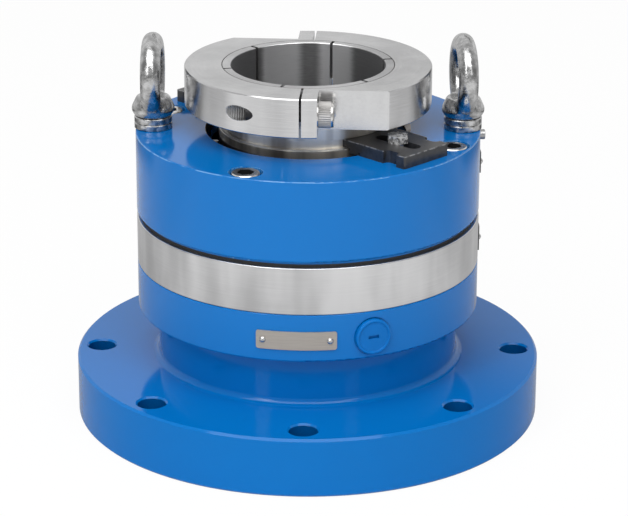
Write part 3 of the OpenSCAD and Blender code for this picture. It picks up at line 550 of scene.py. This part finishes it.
def makeBlackSteel(name):
    steel = blackSteel
    s = Shader(name)
    x, y, z = s.xyz(s.place)
    blotch = s.noise(s.place, steel["blotchScale"], detail=3)
    grain = s.noise(s.place, steel["grainScale"])
    colour = s.mix(blotch, steel["deep"], steel["faded"])
    turn = math.radians(steel["turn"])
    beside = (y * math.cos(turn) - x * math.sin(turn)).math("ABSOLUTE")
    along = (x * math.cos(turn) + y * math.sin(turn)).math("ABSOLUTE")
    # lighter top edges: partly wear, partly painted edge highlight
    side = s.ease(beside, steel["halfWidth"] - steel["wear"], steel["halfWidth"])
    end = s.ease(along, steel["end"] - steel["wear"], steel["end"])
    top = s.ease(z, topOf("clip_front") - steel["wear"], topOf("clip_front"))
    rubbedAndLit = s.ease(s.noise(s.place, steel["rubAndLightScale"], detail=3), *steel["rubAndLightLevel"])
    edge = side.math("MAXIMUM", end) * top * rubbedAndLit
    return s.finish(Base_Color=s.mix(edge, colour, steel["rubbedAndLit"]), Metallic=steel["metallic"],
                    Roughness=steel["roughness"] + steel["blotchRoughness"] * blotch,
                    Specular_IOR_Level=steel["specular"],
                    Normal=s.bump(grain, steel["grainDepth"], steel["grainStrength"]))


rubber = {
    "dark": (0.010, 0.010, 0.011, 1),
    "light": (0.020, 0.020, 0.021, 1),
    "roughness": 0.62,
    "grainRoughness": 0.1,
    "grainScale": 900,
    "grainDepth": 0.02 * mm,
    "grainStrength": 0.5,
}


def makeRubber(name):
    s = Shader(name)
    grain = s.noise(s.place, rubber["grainScale"])
    return s.finish(Base_Color=s.mix(grain, rubber["dark"], rubber["light"]),
                    Roughness=rubber["roughness"] + rubber["grainRoughness"] * grain,
                    Normal=s.bump(grain, rubber["grainDepth"], rubber["grainStrength"]))


ceramic = {
    "lighter": 1.5,
    "metallic": 0.1,
    "roughness": 0.22,
    "grainRoughness": 0.08,
    "grainScale": 2600,
    "grainDepth": 0.004 * mm,
    "grainStrength": 0.5,
}


def makeCeramic(name, base):
    s = Shader(name)
    grain = s.noise(s.place, ceramic["grainScale"], detail=3)
    lighter = tuple(ceramic["lighter"] * c for c in base[:3]) + (1,)
    return s.finish(Base_Color=s.mix(grain, base, lighter), Metallic=ceramic["metallic"],
                    Roughness=ceramic["roughness"] + ceramic["grainRoughness"] * grain,
                    Normal=s.bump(grain, ceramic["grainDepth"], ceramic["grainStrength"]))


brushedPlate = {
    "lineScale": (60, 1800),
    "metallic": 0.55,
    "roughness": 0.42,
    "lineRoughness": 0.1,
    "lineDepth": 0.01 * mm,
    "lineStrength": 0.6,
}


def makePlate(name, dark, light):
    plate = brushedPlate
    s = Shader(name)
    lines = s.drawnNoise(*plate["lineScale"])
    return s.finish(Base_Color=s.mix(lines, dark, light), Metallic=plate["metallic"],
                    Roughness=plate["roughness"] + plate["lineRoughness"] * lines,
                    Normal=s.bump(lines, plate["lineDepth"], plate["lineStrength"]))


plugPlastic = {
    "deep": (0.0008, 0.13, 0.43, 1),
    "light": (0.001, 0.15, 0.50, 1),
    "cloudScale": 90,
    "specular": 0.14,
    "roughness": 0.30,
    "grainRoughness": 0.1,
    "grainScale": 1400,
    "grainDepth": 0.02 * mm,
    "grainStrength": 0.6,
}


def makePlugPlastic(name):
    plastic = plugPlastic
    s = Shader(name)
    cloud = s.noise(s.place, plastic["cloudScale"])
    grain = s.noise(s.place, plastic["grainScale"])
    return s.finish(Base_Color=s.mix(cloud, plastic["deep"], plastic["light"]),
                    Roughness=plastic["roughness"] + plastic["grainRoughness"] * grain,
                    Specular_IOR_Level=plastic["specular"],
                    Normal=s.bump(grain, plastic["grainDepth"], plastic["grainStrength"]))


finishes = {
    "paint": makeBluePaint("flangePaint", onCover=False),
    "coverPaint": makeBluePaint("coverPaint", onCover=True),
    "band": makeTurnedSteel("brushedBand", 0.28, anisotropic=0.5, contrast=0.6, blotch=2.2),
    "turned": makeTurnedSteel("turnedSteel", 0.30, anisotropic=0.3, contrast=0.8, blotch=2.0),
    "collar": makeTurnedSteel("collarSteel", 0.24, anisotropic=0.3, contrast=0.8, blotch=2.0,
                              neck=collarNeck),
    "sleeve": makeTurnedSteel("boredSleeve", 0.28, anisotropic=0.3, contrast=0.9, blotch=1.0,
                              neck=sleeveNeck, bored=True, shadedSeam=True),
    "clamp": makeTurnedSteel("clampSteel", 0.16, contrast=0.7, blotch=0.8,
                             tapped=True, shadedSeam=True),
    "forged": makeForged("forgedEye"),
    "fastener": makePlainMetal("brightFastener", grey(0.66), 0.22),
    "coverScrew": makeScrewSteel("coverScrewSteel", socketShade),
    "clampScrew": makeScrewSteel("clampScrewSteel", shankShade),
    "zinc": makePlainMetal("zincBolt", grey(0.95), 0.26, metallic=0.7, grain=420, depth=0.12 * mm,
                           mottle=480, darkest=0.32, patchy=True),
    "vent": makePlainMetal("ventScrew", grey(0.50), 0.30),
    "knurl": makePlainMetal("knurlSteel", (0.46, 0.45, 0.44, 1), 0.50, metallic=0.75, grain=1200,
                            depth=0.1 * mm),
    "turns": makePlainMetal("tappedTurns", grey(0.46), 0.42),
    "washer": makePlainMetal("plainWasher", grey(0.60), 0.22, mottle=260, darkest=0.5,
                             patchy=True),
    "black": makeBlackSteel("blackClip"),
    "rubber": makeRubber("blackRubber"),
    "carbon": makeCeramic("carbonRing", (0.02, 0.02, 0.022, 1)),
    "carbide": makeCeramic("carbideRing", (0.07, 0.075, 0.085, 1)),
    "plate": makePlate("barePlate", (0.34, 0.312, 0.284, 1), (0.48, 0.446, 0.40, 1)),
    # painted shade: the side plates, seen edge-on, get a dark copy of the label plate's finish
    "shadedSidePlate": makePlate("shadedPlate", grey(0.05), grey(0.12)),
    "plug": makePlugPlastic("plugPlastic"),
}

nodeFinish = {
    "mounting_flange": "paint", "top_cover": "coverPaint", "housing_ring": "band",
    "shaft_sleeve": "sleeve", "drive_collar": "collar",
    "clamp_half_left": "clamp", "clamp_half_right": "clamp",
    "eye_bolt_left": "forged", "eye_bolt_right": "forged",
    "eye_washers_left": "washer", "eye_washers_right": "washer",
    "clamp_screw_front": "clampScrew", "clamp_screw_back": "clampScrew",
    "cover_screw_1": "coverScrew", "cover_screw_2": "coverScrew",
    "cover_screw_3": "coverScrew", "cover_screw_4": "coverScrew", "vent_screw": "vent",
    "clip_front": "black", "clip_back": "black",
    "clip_bolt_front": "zinc", "clip_bolt_back": "zinc",
    "inboard_seal_ring": "carbon", "outboard_seal_ring": "carbon",
    "inboard_rotary_ring": "carbide", "outboard_rotary_ring": "carbide",
    "label_plate": "plate", "band_plate": "shadedSidePlate", "cover_plate": "shadedSidePlate",
    "outlet_plug": "plug", "inlet_plug": "plug",
    "ring_gasket": "rubber", "pumping_ring": "turned",
    "inboard_carrier": "turned", "outboard_carrier": "turned",
}

for name, piece in cad.items():
    finish = nodeFinish.get(name, "rubber" if name.endswith("oring") else "fastener")
    piece.data.materials.clear()
    piece.data.materials.append(finishes[finish])
print("finishes on")


# pieces made here: the clamp screws' knurls, the turns in the tapped holes, the eyes with a
# forging's soft blends, and the springs

def linked(name, mesh):
    data = bpy.data.meshes.new(name)
    mesh.to_mesh(data)
    made = bpy.data.objects.new(name, data)
    bpy.context.collection.objects.link(made)
    return made


def showPiece(mesh, name, finish, body):
    bmesh.ops.recalc_face_normals(mesh, faces=mesh.faces)
    piece = linked(name, mesh)
    mesh.free()
    piece.data.materials.append(finishes[finish])
    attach(piece, body)
    return piece


# a welded copy of a CAD node's mesh
def copyOf(node):
    mesh = bmesh.new()
    mesh.from_mesh(cad[node].data)
    bmesh.ops.remove_doubles(mesh, verts=mesh.verts, dist=weld)
    return mesh


# the next loop up, lifted and scaled
def nextLoop(mesh, loop, lift, share):
    made = bmesh.ops.extrude_edge_only(mesh, edges=loop)["geom"]
    corners = [part for part in made if isinstance(part, bmesh.types.BMVert)]
    bmesh.ops.translate(mesh, verts=corners, vec=(0, 0, lift))
    bmesh.ops.scale(mesh, verts=corners, vec=(share, share, 1))
    return [part for part in made if isinstance(part, bmesh.types.BMEdge)
            and all(end in corners for end in part.verts)]


# the mesh as a modifier leaves it
def applyModifier(name, mesh, kind, settings):
    holder = linked(name, mesh)
    change = holder.modifiers.new(name, kind)
    for key, value in settings.items():
        setattr(change, key, value)
    mesh.clear()
    mesh.from_object(holder, bpy.context.evaluated_depsgraph_get())
    bpy.data.objects.remove(holder)


# from a screw's own axis, drawn upright, to its place in the clamp ring
def layAlongScrew(mesh, quarterTurns, start, reach):
    place = (Matrix.Rotation(math.radians(clampScrew["turn"] + 90 * quarterTurns), 4, "Z")
             @ Matrix.Translation((start, reach, middleOf("clamp_screw_front")[2]))
             @ Matrix.Rotation(math.radians(90), 4, "Y"))
    bmesh.ops.transform(mesh, matrix=place, verts=mesh.verts)


def addKnurl(name, quarterTurns):
    size = clampScrew
    radius, edge, length = size["head"] / 2, size["knurlEdge"], size["knurlLength"]
    inner = 1 - size["knurlWall"] / radius
    mesh = bmesh.new()
    bmesh.ops.create_circle(mesh, segments=2 * size["teeth"], radius=radius * inner)
    for tip in list(mesh.verts)[::2]:
        tip.co *= 1 + size["toothDepth"] / radius
    first = loop = list(mesh.edges)
    bevelled = 1 - edge / radius
    for lift, share in ((0, bevelled / inner), (edge, 1 / bevelled), (length - 2 * edge, 1),
                        (edge, bevelled), (0, inner / bevelled)):
        loop = nextLoop(mesh, loop, lift, share)
    bmesh.ops.bridge_loops(mesh, edges=first + loop)
    layAlongScrew(mesh, quarterTurns, size["lugFace"] + size["knurlStart"], -size["reach"])
    showPiece(mesh, name, "knurl", "rotor")


# the turns that show in a clamp half's tapped hole, trimmed flush with the ring
def addTappedTurns(name, quarterTurns):
    size = clampScrew
    mesh = bmesh.new()
    section = [(size["shell"], 0), (size["crest"], 0)]
    for i in range(size["turns"]):
        section.append((size["root"], (i + 0.5) * size["pitch"]))
        section.append((size["crest"], (i + 1) * size["pitch"]))
    section.append((size["shell"], size["turns"] * size["pitch"]))
    corners = [mesh.verts.new((radius, 0, height)) for radius, height in section]
    for i, corner in enumerate(corners):
        mesh.edges.new((corners[i - 1], corner))
    bmesh.ops.spin(mesh, geom=mesh.verts[:] + mesh.edges[:], cent=(0, 0, 0), axis=(0, 0, 1),
                   angle=2 * math.pi, steps=size["spinSteps"], use_merge=True)
    layAlongScrew(mesh, quarterTurns, size["firstTurn"], size["reach"])
    bmesh.ops.recalc_face_normals(mesh, faces=mesh.faces)
    disc = bmesh.new()
    radius = size["clampRadius"] - size["flush"]
    bmesh.ops.create_cone(disc, cap_ends=True, segments=size["discSegments"], radius1=radius,
                          radius2=radius, depth=size["discHeight"],
                          matrix=Matrix.Translation((0, 0, middleOf("clamp_screw_front")[2])))
    cutter = linked("clampCutter", disc)
    disc.free()
    applyModifier(name + "Rough", mesh, "BOOLEAN",
                  {"operation": "INTERSECT", "solver": "EXACT", "object": cutter})
    bpy.data.objects.remove(cutter)
    showPiece(mesh, name, "turns", "rotor")


addKnurl("knurl_front", 0)
addKnurl("knurl_back", 2)
addTappedTurns("tapped_turns_right", 0)
addTappedTurns("tapped_turns_left", 2)


forgedEye = {
    "voxel": 0.6 * mm,
    "softening": 14,    # rounds of smoothing
    "factor": 0.5,
}


def addForgedEye(name, node):
    mesh = copyOf(node)
    applyModifier(name + "Rough", mesh, "REMESH",
                  {"mode": "VOXEL", "voxel_size": forgedEye["voxel"]})
    for step in range(forgedEye["softening"]):
        bmesh.ops.smooth_vert(mesh, verts=mesh.verts, factor=forgedEye["factor"],
                              use_axis_x=True, use_axis_y=True, use_axis_z=True)
    for face in mesh.faces:
        face.smooth = True
    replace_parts(showPiece(mesh, name, "forged", "housing"), node)


addForgedEye("forged_eye_left", "eye_bolt_left")
addForgedEye("forged_eye_right", "eye_bolt_right")


# springs that push the seal rings, copied from their CAD nodes
sealSprings = {
    "inboard_coils": {"node": "inboard_springs", "joint": "inboard_seal_float",
                      "fixedEnd": 66 * mm},
    "outboard_coils": {"node": "outboard_springs", "joint": "outboard_seal_float",
                       "fixedEnd": 120 * mm},
}


def addSprings(name, spring):
    piece = showPiece(copyOf(spring["node"]), name, "fastener", "housing")
    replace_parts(piece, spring["node"])
    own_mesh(piece)


for name, spring in sealSprings.items():
    addSprings(name, spring)
print("knurls, threads, forged eyes and springs made")


# floor, light and camera: the camera sees white, and gloss sees the tones named here

studio = {
    "floorSize": 30,
    "paper": grey(0.94),
    "paperRoughness": 0.7,
    "front": grey(1.0),             # the floor before the object
    "sides": grey(0.64),            # beside and behind it
    "sidesStart": (-0.08, 0.10),
    "sidesLean": 0.6,
    "sidesRadius": 0.45,
    "foot": grey(0.42),             # painted shadow close to it
    "shadowReach": (0.22, 0.42),
    "shade": grey(0.10),            # a dark patch behind it at each side
    "shadeRadius": (0.56, 0.64),
    "shadeFront": (0.22, 0.32),
    "shadeBack": (0.50, 0.62),
    "whiteShare": 0.94,
    "softSky": 0.55,
    "wallReach": (-0.2, 0.6),       # the world grows lighter towards the back
    "wallTone": (0.35, 0.76),
    "highReach": (0.29, 0.31),      # and again above this height
    "highTone": (1.0, 1.16),
    "flagSlope": 0.4,               # a dark flag high up at the back, on the right
    "flagFoot": (0.343, 0.362),
    "flagTop": (0.55, 0.65),
    "flagSide": (0.0, 0.02),
    "flagFront": 0.3,
    "flagShare": 0.93,
    "lampAim": (0, 0, 0.12),
    "lamps": {
        "top": {"at": (-0.2, -1.1, 2.1), "size": (2.6, 1.8), "power": 42},
        "left": {"at": (-1.0, -1.5, 1.35), "size": (0.4, 1.3), "power": 8},
        "right": {"at": (1.0, -1.5, 1.35), "size": (0.4, 1.3), "power": 3.5},
    },
}


def makeWorld():
    world = bpy.data.worlds.new("studioWorld")
    bpy.context.scene.world = world
    world.use_nodes = True
    sky = Nodes(world.node_tree)
    x, y, z = sky.xyz(sky.node("ShaderNodeTexCoord", out="Generated"))
    wall = sky.ease(y, *studio["wallReach"], *studio["wallTone"])
    flag = sky.ease(z - studio["flagSlope"] * x, *studio["flagFoot"])
    flag = flag * sky.ease(z, *studio["flagTop"], 1.0, 0.0) * sky.ease(x, *studio["flagSide"])
    tone = wall * sky.ease(z, *studio["highReach"], *studio["highTone"])
    tone = tone * (1 - studio["flagShare"] * flag * (y > studio["flagFront"]))
    seen = sky.node("ShaderNodeBackground", {}, {"Color": sky.mix(tone, grey(0), grey(1))})
    plain = sky.node("ShaderNodeBackground", {}, {"Strength": 1.0})
    soft = sky.node("ShaderNodeBackground", {}, {"Strength": studio["softSky"]})
    gloss = sky.rays("Is Glossy Ray", "Is Transmission Ray")
    lit = sky.node("ShaderNodeMixShader", {}, {0: gloss, 1: soft, 2: seen})
    shown = sky.node("ShaderNodeMixShader", {}, {0: sky.rays(), 1: lit, 2: plain})
    sky.node("ShaderNodeOutputWorld", {}, {0: shown}, out=None)


def makeFloor():
    mesh = bmesh.new()
    bmesh.ops.create_grid(mesh, x_segments=1, y_segments=1, size=studio["floorSize"] / 2)
    floor = linked("studioFloor", mesh)
    mesh.free()
    s = Shader("floorPaper")
    x, y = s.xyz(s.place)[:2]
    radius = (x * x + y * y) ** 0.5
    lean = studio["sidesLean"] * (radius - studio["sidesRadius"])
    paper = s.mix(s.ease(y + lean, *studio["sidesStart"]), studio["front"], studio["sides"])
    # painted shadow on the floor round the flange, as gloss sees it
    tone = s.mix(s.ease(radius, *studio["shadowReach"]), studio["foot"], paper)
    shade = s.ease(radius, *studio["shadeRadius"]) * s.ease(y, *studio["shadeFront"])
    tone = s.mix(shade * s.ease(y, *studio["shadeBack"], 1.0, 0.0), tone, studio["shade"])
    s.finish(Base_Color=studio["paper"], Roughness=studio["paperRoughness"],
             Specular_IOR_Level=0.0)
    white = s.node("ShaderNodeEmission", {}, {"Color": s.mix(s.rays(), tone, grey(1))})
    share = s.rays("Is Glossy Ray", "Is Transmission Ray") * studio["whiteShare"]
    shown = s.node("ShaderNodeMixShader", {}, {0: share, 1: s.surface, 2: white})
    s.join(s.output.inputs[0], shown)
    floor.data.materials.append(s.material)


def makeLamps():
    aim = Vector(studio["lampAim"])
    for name, lamp in studio["lamps"].items():
        light = bpy.data.lights.new(name + "Softbox", "AREA")
        light.shape = "RECTANGLE"
        light.size, light.size_y = lamp["size"]
        light.energy = lamp["power"]
        holder = bpy.data.objects.new(name + "Softbox", light)
        holder.location = lamp["at"]
        holder.rotation_euler = (aim - holder.location).to_track_quat("-Z", "Y").to_euler()
        bpy.context.collection.objects.link(holder)


photoView = {
    "at": (4.01 * mm, -1667.94 * mm, 718.66 * mm),
    "pitch": 19.16,             # degrees, as the roll
    "roll": 0.19,
    "focalPixels": 2689,
    "frame": (628, 516),
    "axisRow": 204.8,
    "sensor": 36,
    "farthest": 50,
}


def makeCamera():
    view = photoView
    data = bpy.data.cameras.new("photoCamera")
    data.sensor_width = view["sensor"]
    data.lens = data.sensor_width * view["focalPixels"] / view["frame"][0]
    data.shift_y = (view["axisRow"] - view["frame"][1] / 2) / view["frame"][0]
    data.clip_end = view["farthest"]
    camera = bpy.data.objects.new("photoCamera", data)
    tilt = Matrix.Rotation(math.radians(90 - view["pitch"]), 4, "X")
    roll = Matrix.Rotation(math.radians(view["roll"]), 4, "Z")
    camera.matrix_world = Matrix.Translation(view["at"]) @ tilt @ roll
    bpy.context.collection.objects.link(camera)
    bpy.context.scene.camera = camera


makeWorld()
makeFloor()
makeLamps()
makeCamera()
bpy.context.scene.view_settings.view_transform = "Standard"
print("studio ready")
